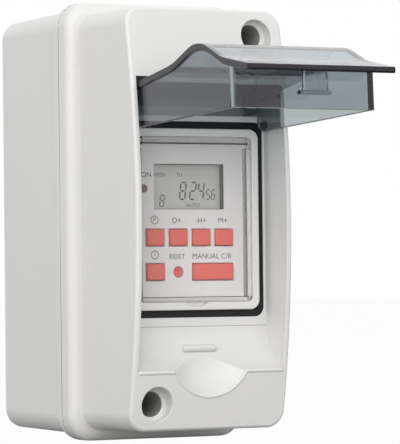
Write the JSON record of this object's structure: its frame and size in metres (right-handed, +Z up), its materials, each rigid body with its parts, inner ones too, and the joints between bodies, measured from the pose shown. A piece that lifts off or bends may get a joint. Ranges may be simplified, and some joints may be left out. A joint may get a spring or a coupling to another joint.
{
  "type": "digital timer switch",
  "caption": "Weekly digital timer with display and keys under a clear lid, on a rail in a weatherproof wall box whose bowed front has a smoked flip door, shown open.",
  "frame": {"origin": "middle of the flat back face that lies on the wall", "axes": "+X right seen from the front, +Z up, the front towards -Y, the back face towards +Y"},
  "size_m": [0.05, 0.1242, 0.1102],
  "materials": {
    "cover_plastic": "satin",
    "base_plastic": "satin",
    "smoked_plastic": "polished",
    "clear_plastic": "polished",
    "seal_rubber": "matte",
    "timer_plastic": "satin",
    "panel_sheet": "printed sheet",
    "display_glass": "grey-green display",
    "key_plastic": "satin",
    "lamp": "polished",
    "board": "green lacquer",
    "black_plastic": "matte",
    "relay_plastic": "satin",
    "capacitor_plastic": "satin",
    "steel": "zinc plated",
    "brass": "plated"
  },
  "bodies": {
    "enclosure": {"base_box": "base_plastic", "cover_seal": "seal_rubber", "front_cover": "cover_plastic", "window_seal": "seal_rubber", "cover_screws": "steel", "din_rail": "steel", "rail_screws": "steel", "timer_rear_case": "timer_plastic", "timer_front_case": "timer_plastic", "face_panel": "panel_sheet", "lcd_glass": "display_glass", "zebra_strips": "seal_rubber", "status_led": "lamp", "display_board": "board", "tact_switches": "black_plastic", "controller_chip": "black_plastic", "backup_battery": "steel", "power_board": "board", "relay": "relay_plastic", "dropper_capacitor": "capacitor_plastic", "filter_capacitor": "black_plastic", "board_header": "black_plastic", "terminal_clamps": "brass", "terminal_screws": "steel"},
    "flip_door": {"door": "smoked_plastic"},
    "inner_lid": {"clear_lid": "clear_plastic"},
    "program_key": {"button_program": "key_plastic"},
    "day_key": {"button_day": "key_plastic"},
    "hour_key": {"button_hour": "key_plastic"},
    "minute_key": {"button_minute": "key_plastic"},
    "clock_key": {"button_clock": "key_plastic"},
    "manual_key": {"button_manual": "key_plastic"},
    "reset_key": {"reset_button": "key_plastic"},
    "rail_clip": {"din_clip": "black_plastic"}
  },
  "joints": [
    {"name": "door_hinge", "type": "hinge", "parent": "enclosure", "child": "flip_door", "pos_m": [0, -0.06398, 0.0235], "axis": [-1, 0, 0], "range_deg": [-93, 0]},
    {"name": "lid_hinge", "type": "hinge", "parent": "enclosure", "child": "inner_lid", "pos_m": [0, -0.0623, 0.0195], "axis": [-1, 0, 0], "range_deg": [0, 90]},
    {"name": "program_press", "type": "slide", "parent": "enclosure", "child": "program_key", "axis": [0, 1, 0], "range_m": [0, 0.0006], "stiffness_N_per_m": 900, "springref_m": -0.0008},
    {"name": "day_press", "type": "slide", "parent": "enclosure", "child": "day_key", "axis": [0, 1, 0], "range_m": [0, 0.0006], "stiffness_N_per_m": 900, "springref_m": -0.0008},
    {"name": "hour_press", "type": "slide", "parent": "enclosure", "child": "hour_key", "axis": [0, 1, 0], "range_m": [0, 0.0006], "stiffness_N_per_m": 900, "springref_m": -0.0008},
    {"name": "minute_press", "type": "slide", "parent": "enclosure", "child": "minute_key", "axis": [0, 1, 0], "range_m": [0, 0.0006], "stiffness_N_per_m": 900, "springref_m": -0.0008},
    {"name": "clock_press", "type": "slide", "parent": "enclosure", "child": "clock_key", "axis": [0, 1, 0], "range_m": [0, 0.0006], "stiffness_N_per_m": 900, "springref_m": -0.0008},
    {"name": "manual_press", "type": "slide", "parent": "enclosure", "child": "manual_key", "axis": [0, 1, 0], "range_m": [0, 0.0006], "stiffness_N_per_m": 900, "springref_m": -0.0008},
    {"name": "reset_press", "type": "slide", "parent": "enclosure", "child": "reset_key", "axis": [0, 1, 0], "range_m": [0, 0.0006], "stiffness_N_per_m": 900, "springref_m": -0.0008},
    {"name": "clip_slide", "type": "slide", "parent": "enclosure", "child": "rail_clip", "axis": [0, 0, -1], "range_m": [0, 0.0025], "stiffness_N_per_m": 400, "springref_m": -0.003}
  ]
}
